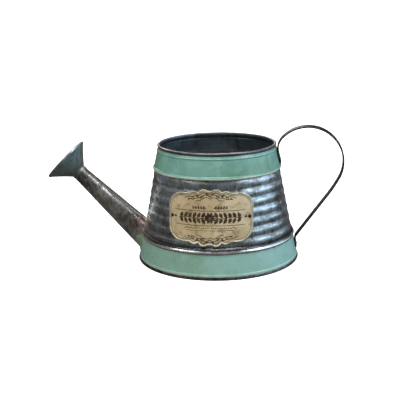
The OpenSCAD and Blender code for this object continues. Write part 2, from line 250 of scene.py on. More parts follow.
class Shader:
    """Builds one material; every method returns a socket that the next one can take."""

    def __init__(self, name, **principled):
        self.mat = bpy.data.materials.new(name)
        self.mat.use_nodes = True
        self.tree = self.mat.node_tree
        self.tree.nodes.clear()
        out = self.tree.nodes.new("ShaderNodeOutputMaterial")
        self.bsdf = self.tree.nodes.new("ShaderNodeBsdfPrincipled")
        self.tree.links.new(self.bsdf.outputs[0], out.inputs[0])
        coords = self.tree.nodes.new("ShaderNodeTexCoord")
        self.at = coords.outputs["Object"]
        split = self.node("ShaderNodeSeparateXYZ", [self.at])
        self.x, self.y, self.z = split.outputs
        for key, value in principled.items():
            self.set(key, value)

    def node(self, kind, inputs=(), **props):
        made = self.tree.nodes.new(kind)
        for key, value in props.items():
            setattr(made, key, value)
        for i, value in (inputs.items() if isinstance(inputs, dict) else enumerate(inputs)):
            if isinstance(value, bpy.types.NodeSocket):
                self.tree.links.new(value, made.inputs[i])
            else:
                made.inputs[i].default_value = value
        return made

    def set(self, key, value):
        socket = self.bsdf.inputs[key.title()]
        if isinstance(value, bpy.types.NodeSocket):
            self.tree.links.new(value, socket)
        else:
            socket.default_value = value

    def math(self, op, *values):
        return self.node("ShaderNodeMath", values, operation=op).outputs[0]

    def add(self, a, b):
        return self.math("ADD", a, b)

    def sub(self, a, b):
        return self.math("SUBTRACT", a, b)

    def mul(self, a, b):
        return self.math("MULTIPLY", a, b)

    def ragged(self, value, amount):
        """A noise of 0 to 1 as an offset to both sides of zero, to break up an edge."""
        return self.mul(self.sub(value, 0.5), amount)

    def stretch(self, x, y, z):
        return self.node("ShaderNodeMapping", {0: self.at, 3: (x, y, z)}).outputs[0]

    def noise(self, scale, detail=4.0, rough=0.55, warp=0.0, at=None):
        made = self.node("ShaderNodeTexNoise", {"Vector": at or self.at, "Scale": scale, "Detail": detail,
                                                "Roughness": rough, "Distortion": warp})
        return made.outputs[0]

    def cells(self, scale, at):
        """A random grey for each cell of a crystal pattern."""
        colour = self.node("ShaderNodeTexVoronoi", {"Vector": at, "Scale": scale}).outputs["Color"]
        return self.node("ShaderNodeRGBToBW", [colour]).outputs[0]

    def ramp(self, value, stops):
        made = self.node("ShaderNodeValToRGB", [value])
        band = made.color_ramp
        while len(band.elements) < len(stops):
            band.elements.new(0.5)
        for element, (place, colour) in zip(band.elements, stops):
            element.position, element.color = place, colour
        return made.outputs[0]

    def range(self, value, lo, hi, to_lo=0.0, to_hi=1.0):
        made = self.node("ShaderNodeMapRange", [value, lo, hi, to_lo, to_hi], interpolation_type="SMOOTHSTEP")
        return made.outputs[0]

    def mix(self, factor, a, b):
        return self.node("ShaderNodeMix", {0: factor, 6: a, 7: b}, data_type="RGBA").outputs[2]

    def blend(self, value, lo, hi, most, a, b):
        """From a towards b, by up to most, as value goes from lo to hi."""
        return self.mix(self.range(value, lo, hi, 0.0, most), a, b)

    def roughen(self, value, lo, hi):
        self.set("roughness", self.range(value, 0.3, 0.7, lo, hi))

    def near(self, value, middle, width):
        """1 where value is at middle, falling to 0 at width from it."""
        off = self.math("ABSOLUTE", self.sub(value, middle))
        return self.range(off, 0.0, width, 1.0, 0.0)

    def bump(self, *layers):
        """Each layer is (height socket, distance in metres, strength)."""
        normal = None
        for height, distance, strength in layers:
            made = self.node("ShaderNodeBump", {"Strength": strength, "Distance": distance, "Height": height})
            if normal is not None:
                self.tree.links.new(normal, made.inputs["Normal"])
            normal = made.outputs[0]
        self.set("normal", normal)


def rgb(*values):
    """Linear colour from 0-255 display values."""
    out = []
    for v in values:
        v /= 255
        out.append(v / 12.92 if v <= 0.04045 else ((v + 0.055) / 1.055) ** 2.4)
    return tuple(out) + (1.0,)


# ---- rings of the body ----

def band_path():
    """Upper band: bead, plain wall, swage, neck, and the curl round the rim's wire."""
    half = SHEET / 2
    bead_z, swage_z = BAND_Z + BEAD_R, RIM_Z - SWAGE_DROP
    neck_z = swage_z + SWAGE_R
    path = []
    for z in steps(BAND_Z, neck_z, 0.4):
        out = bead_bulge(z, bead_z, BEAD_R, BEAD_OUT) + bead_bulge(z, swage_z, SWAGE_R, SWAGE_OUT)
        path.append((band_r(z) - half + out, z))
    wrap = WIRE_R + half
    r0 = path[-1][0]
    for z in steps(neck_z, RIM_Z - 0.6, 0.4)[1:]:
        path.append((r0 + (RIM_C - wrap - r0) * smooth(z, neck_z, RIM_Z - 0.8), z))
    return path + arc((RIM_C, RIM_Z), wrap, 180, -80, 26)


def shell_path():
    """Ribbed shell: bead and skirt over the lower band, the ribs, and the lap under the upper band."""
    path = []
    for z in steps(SHELL_Z0, SHELL_TOP, 0.62):
        r = skirted_r(z)
        r += (band_r(z) - SHEET - r) * smooth(z, BAND_Z - 1.2, BAND_Z + 1.0)
        path.append((r - SHEET / 2, z))
    return path


def rib_form(z):
    """1 on a rib's crest and 0 in the groove between two; the crests are the wider of the two."""
    wave = (1 - cos(2 * pi * (z - LAP_Z) / RIB_PITCH)) / 2
    return wave ** 0.75


def skirted_r(z):
    """Outer radius of the skirt with its bead, running into the ribs above the lower band."""
    ribbed = crest_r(z) - RIB_DEPTH * (1 - rib_form(z))
    skirt = wall_r(z) + bead_bulge(z, SHELL_Z0 + BEAD_R, BEAD_R, BEAD_OUT)
    return skirt + (ribbed - skirt) * smooth(z, LAP_Z - 0.6, LAP_Z + 1.6)


def foot_path():
    """Lower band, with a slight swell just above the base seam."""
    return [(wall_r(z) - SHEET * 1.5 + bead_bulge(z, SEAM_H + 1.6, 2.2, 0.5), z)
            for z in steps(1.3, LAP_Z, 0.5)]


def base_path():
    """Floor with a pressed ring, a heel, and the fold that grips the lower band from outside."""
    low = FLOOR_Z - SHEET / 2
    fold_r = 0.95
    heel = wall_r(0) - 1.35
    path = [(0, low + 0.5), (30, low + 0.5), (58, low + 0.45)]
    path += [(58 + d, low + 0.45 + 0.9 * smooth(d, 0, 4) - 1.3 * smooth(d, 8, 13))
             for d in steps(1, 14, 0.8)]
    path += [(85, low - 0.35), (98, low - 0.3), (heel - 4.2, low - 0.2), (heel - 2.4, low - 0.2)]
    path += arc((heel - 2.4, low - 1.1), 0.9, 90, 20, 5)
    path += arc((heel, fold_r + SHEET / 2), fold_r, 200, 345, 12)
    path += [(wall_r(z) - SHEET / 2 - 0.35 * smooth(z, SEAM_H - 1.2, SEAM_H), z)
             for z in steps(1.9, SEAM_H, 0.4)]
    return path


def ring(name, path, slow, seed, seam=0.7, count=224):
    """A ring of the body with slow and quick dents and the folded side seam at the back."""
    shift = both(dents(slow, 38, seed), dents(slow * 0.35, 13, seed + 5), side_seam(seam, 3.2))
    return lathe(name, stroke(path), turn_angles(count), shift)


upper = ring("upper_ring", band_path(), 0.28, 3.1)
shell = ring("ribbed_ring", shell_path(), 0.34, 8.4, count=288)
lower = ring("lower_ring", foot_path(), 0.28, 14.2, seam=0.5)
base = ring("base_pan", base_path(), 0.16, 21.5, seam=0.0)

# ---- spout: local Z runs out along its axis, zero on the wall's outer surface ----

SPOUT_RISE = radians(44.3)
SPOUT_ROOT_Z, SPOUT_ROOT_D, SPOUT_TIP_D, SPOUT_LEN = 29.5, 36.5, 20.0, 124.5
SPOUT_TAIL = 42.0
ROSE_D, ROSE_LEN, ROSE_SLEEVE = 67.5, 25.0, 4.0
ROSE_SEAT, ROSE_DOME, ROSE_CRIMP = ROSE_D / 2 - 3 * SHEET, 1.6, 2.6
SPOUT = Matrix.Translation(Vector((-wall_r(SPOUT_ROOT_Z), 0, SPOUT_ROOT_Z))) @ Matrix.Rotation(
    SPOUT_RISE - pi / 2, 4, "Y")
TAPER = (SPOUT_ROOT_D - SPOUT_TIP_D) / 2 / SPOUT_LEN
UNDERSIDE = pi
BRAZE_LEG, SOLDER_LEG = 2.7, 1.7


def spout_r(h):
    return SPOUT_TIP_D / 2 + TAPER * (SPOUT_LEN - h)


def spout_ring(name, profile, shift=None, count=128):
    return lathe(name, profile, turn_angles(count, None), shift, SPOUT)


def body_room():
    """The space inside the walls, as a solid that cuts the spout's tail off flush."""
    inner = [(wall_r(z) - 2 * SHEET - 0.1, z) for z in steps(-60, LAP_Z, 10)]
    inner += [(wall_r(z) - RIB_INSET - RIB_DEPTH - SHEET, z) for z in steps(LAP_Z + 1, RIM_Z, 10)]
    return lathe("room", [(0, -60)] + inner + [(0, RIM_Z)], turn_angles(180, None))


room = body_room()
pipe = sheet([(spout_r(h), h) for h in steps(-SPOUT_TAIL, SPOUT_LEN, 2.4)])
pipe_shift = both(dents(0.3, 20, 31.0), side_seam(0.7, 1.8, UNDERSIDE))
spout = cut(spout_ring("spout_pipe", pipe, pipe_shift, 160), room)
bore = [(spout_r(h) - 0.25, h) for h in steps(-SPOUT_TAIL - 4, 30, 6)]
plug = spout_ring("plug", [(0, bore[0][1])] + bore + [(0, bore[-1][1])])
cut(shell, plug)
cut(lower, plug)
for helper in (room, plug):
    bpy.data.objects.remove(helper)


def envelope_r(z):
    """Outer radius of the body at a height, for what is brazed to it."""
    return wall_r(z) - SHEET if z < SHELL_Z0 else skirted_r(z)


def root_point(turn):
    """Where the spout's outer surface, at this turn round its axis, comes out of the body."""
    def at(h):
        return SPOUT @ Vector((*polar(spout_r(h), turn), h))

    h = last_inside(lambda h: at(h).xy.length < envelope_r(at(h).z), -30.0, 40.0)
    return at(h), (at(h + 1) - at(h)).normalized()


def braze_bead():
    """A lumpy fillet round the spout's root, from the wall up onto the pipe."""
    count, verts = 200, []
    points = [root_point(2 * pi * i / count) for i in range(count)]
    middle = sum((p for p, _ in points), Vector()) / count
    for i, (p, along) in enumerate(points):
        around = (points[(i + 1) % count][0] - points[i - 1][0]).normalized()
        wall_n = Vector((p.x, p.y, LEAN * hypot(p.x, p.y))).normalized()
        down = p - middle
        down -= down.dot(wall_n) * wall_n
        down -= down.dot(around) * around
        down.normalize()
        rough = 1 + 0.3 * noise.noise(p / 5) + 0.2 * noise.noise(p / 1.8)
        leg = BRAZE_LEG * rough
        pipe_n = around.cross(along)
        if pipe_n.dot(down) < 0:
            pipe_n.negate()
        inward = -wall_n * 0.8 - pipe_n * 0.8
        crown = (along + down).normalized()
        verts += [p + inward, p + along * leg - pipe_n * 0.3, p + along * leg * 0.72 + pipe_n * 0.42,
                  p + crown * leg * 0.62, p + down * leg * 0.75 + wall_n * 0.42,
                  p + down * leg - wall_n * 0.4]
    return piece("braze_bead", verts, grid_faces(count, 6, True, True), 60)


braze = braze_bead()

# ---- rose ----


def funnel_profile():
    edge = ROSE_D / 2
    tip = SPOUT_TIP_D / 2
    path = [(spout_r(SPOUT_LEN - ROSE_SLEEVE) + SHEET / 2, -ROSE_SLEEVE), (tip + 0.45, -1.2), (tip + 0.5, 0)]
    lip_r, lip_z = edge - SHEET * 1.5, ROSE_LEN - ROSE_CRIMP
    for t in steps(0, 1, 0.05)[1:]:
        path.append((tip + 0.5 + (lip_r - tip - 0.5) * t, lip_z * t + 0.4 * sin(pi * t)))
    path.append((lip_r, ROSE_LEN - SHEET))
    return [(r, h + SPOUT_LEN) for r, h in stroke(path)]


def face_profile():
    """Half section of the perforated face, with its edge folded back over the funnel's lip."""
    edge = ROSE_D / 2
    path = [(ROSE_SEAT * t, ROSE_DOME * (1 - t * t) + ROSE_LEN - SHEET / 2) for t in steps(0, 1, 0.05)]
    path += arc((edge - 1.1, ROSE_LEN - 1.1), 0.7, 90, 0, 6)
    path += [(edge - SHEET / 2, ROSE_LEN - 1.9), (edge - SHEET / 2, ROSE_LEN - 2.4)]
    path += arc((edge - 0.9, ROSE_LEN - 2.5), 0.5, 0, -70, 4)
    return [(r, h + SPOUT_LEN) for r, h in stroke(path)]


funnel = spout_ring("rose_cone", funnel_profile(),
                    both(dents(0.22, 14, 44.0), side_seam(0.55, 1.6, UNDERSIDE)), 144)

SPRINKLE_R, SPRINKLE_RINGS = 1.0, 4


def sprinkle_holes():
    """(distance from the middle, turn) of every hole: one in the middle and rings of 6, 12, 18 and 24."""
    spots = [(0.0, 0.0)]
    for n in range(1, SPRINKLE_RINGS + 1):
        for i in range(6 * n):
            a = 2 * pi * (i + n / 2) / (6 * n)
            spots.append((n * ROSE_SEAT / (SPRINKLE_RINGS + 0.8), a))
    return spots


def rose_plate():
    disc = spout_ring("rose_plate", face_profile(), both(dents(0.12, 10, 52.0)), 144)
    bm = bmesh.new()
    for r, a in sprinkle_holes():
        spin = Matrix.Rotation(a, 4, "Z") @ Matrix.Translation(Vector((r, 0, SPOUT_LEN + ROSE_LEN)))
        bmesh.ops.create_cone(bm, cap_ends=True, segments=20, radius1=SPRINKLE_R, radius2=SPRINKLE_R,
                              depth=10, matrix=Matrix.Scale(MM, 4) @ SPOUT @ spin)
    drill = piece("drill", [], [])
    bm.to_mesh(drill.data)
    bm.free()
    cut(disc, drill, "MANIFOLD")
    bpy.data.objects.remove(drill)
    return disc


rose = rose_plate()


def solder_ring():
    h0 = SPOUT_LEN - ROSE_SLEEVE
    verts, count = [], 144
    for i in range(count):
        a = 2 * pi * i / count
        p = Vector((cos(a), sin(a), 0))
        leg = SOLDER_LEG * (1 + 0.35 * noise.noise(p * 5) + 0.25 * noise.noise(p * 17))
        for r, h in ((spout_r(h0) - 0.3, h0 + 0.3), (spout_r(h0) + SHEET * 0.9, h0 + 0.25),
                     (spout_r(h0) + SHEET * 0.75, h0 - leg * 0.45), (spout_r(h0 - leg) - 0.15, h0 - leg)):
            verts.append(SPOUT @ Vector((*polar(r, a), h)))
    return piece("solder_ring", verts, grid_faces(count, 4, True, True), 50)


solder = solder_ring()

# ---- handle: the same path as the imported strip, in the plane of X and Z ----

HANDLE_W, HANDLE_T, HEM_R = 15.0, 1.0, 1.2
LOOP_R, NECK_R, NECK_TURN, NECK_DROP = 46.8, 23.5, 58.7, 12.5
EASE_R, EASE_OUT = 160.0, 1.5
FOOT_Z, FOOT_R, FOOT_END_Z, FOOT_RIVET_UP = 27.6, 10.0, 14.0, 5.0
HEM_Y = HANDLE_W / 2 - 2 * HEM_R
RIVET_R, RIVET_HEAD_R, RIVET_HEAD_H = 1.6, 3.2, 1.4


def strip_at(r, lean, z):
    """Middle of the strip, in X and Z, where its hems rest on a wall of this radius and lean."""
    return Vector((sqrt(r * r - HEM_Y ** 2) + HEM_R * hypot(1, lean), z))


def heading(v):
    return degrees(atan2(v.y, v.x))


def ahead(a):
    return Vector(polar(1, radians(a)))


def leftwards(a):
    return ahead(a + 90)


def handle_path():
    """Points (x, z) of the strip's middle with the leftward normal at each, foot first."""
    neck_z, tail_z = RIM_Z - NECK_DROP, BAND_Z + 2 * BEAD_R + 1
    neck, tail = strip_at(band_r(neck_z), BAND_LEAN, neck_z), strip_at(band_r(tail_z), BAND_LEAN, tail_z)
    tail_a = heading(neck - tail)
    neck_c = neck - NECK_R * leftwards(tail_a)
    loop_a = tail_a - NECK_TURN
    loop_c = neck_c - (LOOP_R - NECK_R) * leftwards(loop_a)
    foot = strip_at(wall_r(FOOT_Z) - SHEET, LEAN, FOOT_Z)
    end = strip_at(wall_r(FOOT_END_Z) - SHEET, LEAN, FOOT_END_Z)
    foot_a = heading(foot - end)
    to_c = loop_c - foot
    off = LOOP_R + EASE_OUT
    run_a = heading(to_c) - degrees(atan2(off, sqrt(to_c.length_squared - off ** 2)))
    ease_turn = degrees(math.acos(1 - EASE_OUT / (EASE_R - LOOP_R)))
    ease_c = loop_c - (EASE_R - LOOP_R) * leftwards(run_a + ease_turn + 180)
    lead = FOOT_R * math.tan(radians(foot_a - run_a) / 2)
    foot_c = foot - lead * ahead(foot_a) - FOOT_R * leftwards(foot_a)

    def bend(c, r, a0, a1):
        n = max(2, round(abs(a1 - a0) / 2.5))
        angles = [a0 + (a1 - a0) * i / n for i in range(n + 1)]
        return [(c + r * leftwards(a), a) for a in angles]

    def straight(p, q, a, n):
        return [(p + (q - p) * i / n, a) for i in range(1, n)]

    low = bend(foot_c, FOOT_R, foot_a, run_a)
    ease = bend(ease_c, -EASE_R, run_a, run_a + ease_turn)
    loop = ease[:-1] + bend(loop_c, -LOOP_R, run_a + ease_turn, loop_a + 180)
    neck_bend = bend(neck_c, -NECK_R, loop_a + 180, tail_a + 180)
    path = [(end, foot_a)] + straight(end, low[0][0], foot_a, 8) + low
    path += straight(low[-1][0], loop[0][0], run_a, 24) + loop + neck_bend[1:]
    path += straight(neck_bend[-1][0], tail, tail_a + 180, 6) + [(tail, tail_a + 180)]
    return [(p, leftwards(a)) for p, a in path]


def strip_section():
    """Closed section across the strip as (y, out) pairs: two round hems and the flat between them."""
    right = arc((HANDLE_W / 2 - HEM_R, 0), HEM_R, -150, 150, 12)
    left = [(-y, -n) for y, n in right]
    flat = [(4.0, HANDLE_T / 2), (0, HANDLE_T / 2), (-4.0, HANDLE_T / 2)]
    under = [(-y, -n) for y, n in flat]
    return right + flat + left + under


def handle():
    path, section, verts = handle_path(), strip_section(), []
    faces = grid_faces(len(path), len(section), False, True)
    for i, (p, n) in enumerate(path):
        at = Vector((p.x, 0, p.y))
        out = Vector((n.x, 0, n.y))
        near_end = min(i, len(path) - 1 - i)
        half = 1.0 - 0.09 * (near_end < 2) - 0.06 * (near_end < 1)
        sway = 0.16 * noise.noise(at / 24) if 6 < near_end else 0.0
        for y, h in section:
            bump = 0.05 * noise.noise(Vector((at.x, y, at.z)) / 4)
            verts.append(at + Vector((0, y * half, 0)) + out * (h * half + sway + bump))
    last = (len(path) - 1) * len(section)
    faces += [tuple(range(len(section)))[::-1], tuple(range(last, last + len(section)))]
    return piece("handle_band", verts, faces, 50)


grip = handle()


def dome(radius, height):
    """Profile points of a hammered head: a low dome with a flat spot on top and a rolled edge."""
    out = [(radius - 0.25, -0.5), (radius, 0.12)]
    for t in steps(0, 1, 0.125)[1:]:
        out.append((radius * cos(t * pi / 2) ** 0.9 if t < 1 else 0.0,
                    0.12 + (height - 0.12) * sin(t * pi / 2) ** 0.8))
    return out


def heads(name, spots):
    """One mesh of several turned heads; each spot is (matrix, profile that starts and ends on the axis)."""
    verts, faces, count = [], [], 36
    for place, profile in spots:
        start = len(verts)
        for r, h in profile[1:-1]:
            for a in [2 * pi * i / count for i in range(count)]:
                wob = 1 + 0.03 * noise.noise(Vector((*polar(2, a), h + start)))
                verts.append(place @ Vector((*polar(r * wob, a), h)))
        hub = len(verts)
        verts += [place @ Vector((0, 0, h)) for _, h in (profile[0], profile[-1])]
        sides = grid_faces(len(profile) - 2, count, False, True)
        faces += [tuple(start + k for k in f) for f in sides]
        faces += fan(start, count, hub) + fan(hub - count, count, hub + 1)
    return piece(name, verts, faces, 50)


def wall_place(r, z, lean, angle=0.0):
    """Local Z points out of the wall, with zero at this radius."""
    spin = Matrix.Rotation(angle, 4, "Z")
    tip = Matrix.Rotation(pi / 2 - math.atan(lean), 4, "Y")
    return spin @ Matrix.Translation(Vector((r, 0, z))) @ tip


def rivet_profile(top, deep):
    """Head on the strip, shank, and upset head inside the wall, from the lowest point to the highest."""
    head = [(r, top + h) for r, h in dome(RIVET_HEAD_R, RIVET_HEAD_H)]
    tail = [(r, -deep - h) for r, h in dome(RIVET_HEAD_R, RIVET_HEAD_H - 0.1)]
    return tail[::-1] + [(RIVET_R, -deep + 0.3), (RIVET_R, top - 0.2)] + head


def strip_top(r, lean, z):
    """Height of the strip's outer face over the wall that it rests on."""
    p = strip_at(r, lean, z)
    return (p.x - r) / hypot(1, lean) + HANDLE_T / 2


def rivet(r, lean, z):
    return wall_place(r, z, lean), rivet_profile(strip_top(r, lean, z), SHEET)


UPPER_RIVET_Z = (RIM_Z - NECK_DROP + BAND_Z + 2 * BEAD_R) / 2
LOWER_RIVET_Z = FOOT_END_Z + FOOT_RIVET_UP
rivets = heads("rivet_heads", [
    rivet(band_r(UPPER_RIVET_Z), BAND_LEAN, UPPER_RIVET_Z),
    rivet(wall_r(LOWER_RIVET_Z) - SHEET, LEAN, LOWER_RIVET_Z),
])

# ---- plaque ----

PLAQUE_W = 108.0
PLAQUE_CREST, PLAQUE_CREST_W, PLAQUE_DIP, PLAQUE_CORNER_R = 5.0, 40.0, 1.6, 18.0
PLAQUE_EDGE_W, PLAQUE_EDGE_H = 1.8, 0.6
PLAQUE_H = plaque_hi[2] - plaque_lo[2] - 2 * PLAQUE_CREST
PLAQUE_Z = (plaque_hi[2] + plaque_lo[2]) / 2
PIN_X, PIN_HEAD_R = 49.0, 2.2


def box_gap(x, z, half_w, half_h, r):
    """Distance outside a rectangle with round corners, below zero inside it."""
    dx, dz = abs(x) - half_w + r, abs(z) - half_h + r
    return hypot(max(dx, 0), max(dz, 0)) + min(max(dx, dz), 0) - r


def outline_gap(x, z):
    """Distance outside the plaque's outline, below zero inside it."""
    lobe, half = PLAQUE_CREST_W / 5, PLAQUE_H / 2
    gap = box_gap(x, z, PLAQUE_W / 2, half, PLAQUE_CORNER_R)
    for side in (-1, 1):
        for place, rise in ((0, PLAQUE_CREST - PLAQUE_DIP), (lobe, PLAQUE_CREST),
                            (PLAQUE_CREST_W / 2, PLAQUE_CREST / 2)):
            gap = blend_gap(gap, hypot(abs(x) - place, z - side * (half + rise - lobe)) - lobe, 1.6)
    return gap


def blend_gap(a, b, soft):
    """Union of two outlines with the corner between them filled over this width."""
    near = max(soft - abs(a - b), 0.0) / soft
    return min(a, b) - near * near * soft / 4


def outline_reach(angle, inset):
    """How far from the plaque's middle its outline lies in this direction, less the inset."""
    return last_inside(lambda r: outline_gap(*polar(r, angle)) < -inset, 0.0, 70.0)


def on_plaque(x, z, height):
    """Point at this place seen from the front, so far above the rib crests."""
    r = crest_r(PLAQUE_Z + z) + height
    return Vector((x, -sqrt(max(r * r - x * x, 1.0)), PLAQUE_Z + z))


def plaque_face(x, z):
    """Height of the plaque's face, with slight unevenness."""
    return SHEET + 0.10 * noise.noise(Vector((x, z, 4.0)) / 14)


def plaque_plate():
    """Curved plate with a raised, rolled edge; its layers are (distance in from the outline, height)."""
    count, top, flat = 540, SHEET + PLAQUE_EDGE_H, PLAQUE_EDGE_W + 0.8
    layers = [(0.0, 0.02), (0.0, 0.9), (0.2, 1.26), (0.5, top), (1.0, top), (1.4, 1.22),
              (PLAQUE_EDGE_W, SHEET), (flat, SHEET)]
    verts = []
    angles = [2 * pi * (i + 0.5) / count for i in range(count)]
    reach = {inset: [outline_reach(a, inset) for a in angles] for inset, _ in layers}
    rows = [[(r * t, 0.02) for r in reach[0.0]] for t in (0.2, 0.4, 0.6, 0.8)]
    rows += [[(r, height) for r in reach[inset]] for inset, height in layers]
    rows += [[(r * t, None) for r in reach[flat]] for t in (0.9, 0.8, 0.68, 0.55, 0.42, 0.28, 0.14)]
    for row in rows:
        for a, (r, height) in zip(angles, row):
            x, z = polar(r, a)
            verts.append(on_plaque(x, z, plaque_face(x, z) if height is None else height))
    last, hub = (len(rows) - 1) * count, len(verts)
    verts += [on_plaque(0, 0, 0.02), on_plaque(0, 0, plaque_face(0, 0))]
    faces = grid_faces(len(rows), count, False, True) + fan(0, count, hub) + fan(last, count, hub + 1)
    return piece("plaque_plate", verts, faces, 40)


def ribbon(points, width, height=0.16, closed=False):
    """A raised stroke on the plaque: verts and faces of a thin closed band along (x, z) points."""
    verts, n = [], len(points)
    for i, (x, z) in enumerate(points):
        x0, z0 = points[(i - 1) % n] if closed or i else points[0]
        x1, z1 = points[(i + 1) % n] if closed or i < n - 1 else points[-1]
        size = hypot(x1 - x0, z1 - z0) or 1.0
        nx, nz = -(z1 - z0) / size, (x1 - x0) / size
        w = (width(i / (n - 1)) if callable(width) else width) / 2
        for side, h in ((1, -0.1), (1, height * 0.7), (0, height), (-1, height * 0.7), (-1, -0.1)):
            px, pz = x + nx * w * side, z + nz * w * side
            verts.append(on_plaque(px, pz, plaque_face(px, pz) + h))
    faces = grid_faces(n, 5, closed, True)
    if not closed:
        faces += [(0, 1, 2, 3, 4), tuple((n - 1) * 5 + k for k in (4, 3, 2, 1, 0))]
    return verts, faces


def mirrored(points, x, z):
    return [(-px if x else px, -pz if z else pz) for px, pz in points]


def curve(points, count=18):
    """Smooth points through a few given ones."""
    out = []
    n = len(points)
    for i in range(n - 1):
        p0, p1 = points[max(i - 1, 0)], points[i]
        p2, p3 = points[i + 1], points[min(i + 2, n - 1)]
        for k in range(count):
            t = k / count
            out.append(tuple(
                0.5 * (2 * b + (c - a) * t + (2 * a - 5 * b + 4 * c - d) * t * t
                       + (3 * b - a - 3 * c + d) * t ** 3) for a, b, c, d in zip(p0, p1, p2, p3)))
    return out + [points[-1]]


def spiral(cx, cz, r0, r1, a0, turns, count=26):
    """Points that wind from radius r0 to r1, starting at the angle a0."""
    spokes = [polar(r0 + (r1 - r0) * t, a0 + 2 * pi * turns * t) for t in steps(0, 1, 1 / count)]
    return [(cx + x, cz + z) for x, z in spokes]


def leaf(x, z, angle, length, fat):
    """Closed outline of a pointed leaf."""
    side = [(length * t, fat * sin(pi * t) ** 0.8 * (1 - 0.35 * t)) for t in steps(0, 1, 0.1)]
    ring_points = side + [(px, -pz) for px, pz in side[-2:0:-1]]
    ca, sa = cos(angle), sin(angle)
    return [(x + px * ca - pz * sa, z + px * sa + pz * ca) for px, pz in ring_points]


def leaf_mesh(outline, height=0.22):
    """A raised leaf: its rim on the plaque, its middle a little higher."""
    cx = sum(p[0] for p in outline) / len(outline)
    cz = sum(p[1] for p in outline) / len(outline)
    n, verts = len(outline), []
    for scale, h in ((1.0, -0.1), (1.0, height * 0.6), (0.6, height)):
        for x, z in outline:
            px, pz = cx + (x - cx) * scale, cz + (z - cz) * scale
            verts.append(on_plaque(px, pz, plaque_face(px, pz) + h))
    faces = grid_faces(3, n, False, True)
    verts += [on_plaque(cx, cz, plaque_face(cx, cz) + height), on_plaque(cx, cz, plaque_face(cx, cz) - 0.1)]
    return verts, faces + fan(2 * n, n, 3 * n) + fan(0, n, 3 * n + 1)


def ornament():
    """A fine border line, scrolls above and below, ruled lines, and a sprig of leaves along the middle."""
    parts = []

    def line(points, width, up_down=False):
        for flip_x in (False, True):
            for flip_z in ((False, True) if up_down else (False,)):
                parts.append(ribbon(mirrored(points, flip_x, flip_z), width))

    def leaves(outline, height=0.22, four=True):
        for sx in (-1, 1):
            for sz in ((-1, 1) if four else (1,)):
                parts.append(leaf_mesh([(sx * px, sz * pz) for px, pz in outline], height))

    turns = [2 * pi * (i + 0.5) / 360 for i in range(360)]
    parts.append(ribbon([polar(outline_reach(a, 3.1), a) for a in turns], 0.4, closed=True))
    top = PLAQUE_H / 2 + PLAQUE_CREST
    line(curve([(0, top - 6.4), (4.5, top - 4.4), (9, top - 4.6), (13.5, top - 7.2), (18, top - 7.4),
                (22, top - 9.2), (28, top - 9.6), (33, top - 11.6)]), 0.8, up_down=True)
    line(curve([(0, top - 9.0), (4, top - 6.6), (8.5, top - 7.4), (12, top - 10.0), (17, top - 10.8),
                (21.5, top - 12.4), (26, top - 12.2)]), lambda t: 1.2 * (1 - 0.5 * t), up_down=True)
    line(curve([(0, top - 11.4), (4.5, top - 9.6), (9, top - 11.4), (13, top - 13.6), (18, top - 14.2)]), 0.7,
         up_down=True)
    line(spiral(9.6, top - 9.4, 2.4, 0.6, -0.6, 1.15), 0.75, up_down=True)
    line(spiral(21.6, top - 11.6, 2.1, 0.6, 2.6, -1.1), 0.7, up_down=True)
    for x, dz, a, size in ((2.6, 7.4, 0.9, 4.4), (14.4, 9.6, 0.5, 4.2), (25.0, 11.4, -0.4, 4.6)):
        leaves(leaf(x, top - dz, a, size, 1.05))
    for rule_z, reach, width in ((8.9, 44, 0.6), (-9.3, 44, 0.6), (-15.6, 30, 0.45)):
        line([(x, rule_z) for x in steps(0, reach, 1.0)], width)

    stem = [(-40, -0.8), (-28, 0.9), (-14, -0.8), (0, 0.5), (14, -0.8), (28, 0.9), (40, -0.8)]
    parts.append(ribbon(curve(stem, 14), 1.0))
    for i in range(6):
        x = 10.2 + 5.6 * i
        size = 8.4 - 0.16 * i - (0.9 if i % 2 else 0)
        for sx in (-1, 1):
            for side in (-1, 1):
                outline = leaf(x, 0.3 * side, side * (pi - 1.05), size, 2.5)
                parts.append(leaf_mesh([(sx * px, pz) for px, pz in outline], 0.3))
    for k in range(8):
        a = pi / 8 + k * pi / 4
        parts.append(leaf_mesh(leaf(0.9 * cos(a), 0.3 + 0.9 * sin(a), a, 6.6, 2.2), 0.32))
    leaves(leaf(43.0, 0.4, 0.0, 4.0, 1.5), four=False)
    for k in range(12):
        rise = 0.25 * cos(k * 1.3)
        leaves(leaf(1.3 + 2.7 * k, rise - 12.6, 0.35 * (-1) ** k, 2.2, 0.75), 0.16, False)
    line([(x, 12.5) for x in steps(5, 22, 1)], 0.7)
    for x in (6.5, 10.0, 13.5, 17.0, 20.5):
        leaves(leaf(x, 12.5, 0.85, 3.4, 0.95), 0.18, False)
        leaves(leaf(x, 12.5, -0.85, 2.4, 0.8), 0.18, False)

    verts, faces = [], []
    for v, f in parts:
        start = len(verts)
        verts += v
        faces += [tuple(start + k for k in face) for face in f]
    return piece("plaque_ornament", verts, faces, 30)


plate = plaque_plate()
print_relief = ornament()


def pin_spot(side):
    a = -pi / 2 + side * math.asin(PIN_X / crest_r(PLAQUE_Z))
    wall = RIB_DEPTH + 2 * SHEET + 1
    head = [(r, SHEET + h) for r, h in dome(PIN_HEAD_R, PIN_HEAD_R * 0.56)]
    clench = [(1.1, -wall + 0.2), (1.2, -wall - 0.5), (0.7, -wall - 1.0), (0.0, -wall - 1.15)]
    return wall_place(crest_r(PLAQUE_Z), PLAQUE_Z, LEAN, a), clench[::-1] + [(0.9, -wall + 0.3)] + head


pins = heads("plaque_pins", [pin_spot(-1), pin_spot(1)])

# ---- materials ----


SPANGLE = 150.0
ZINC_METALLIC = 0.92


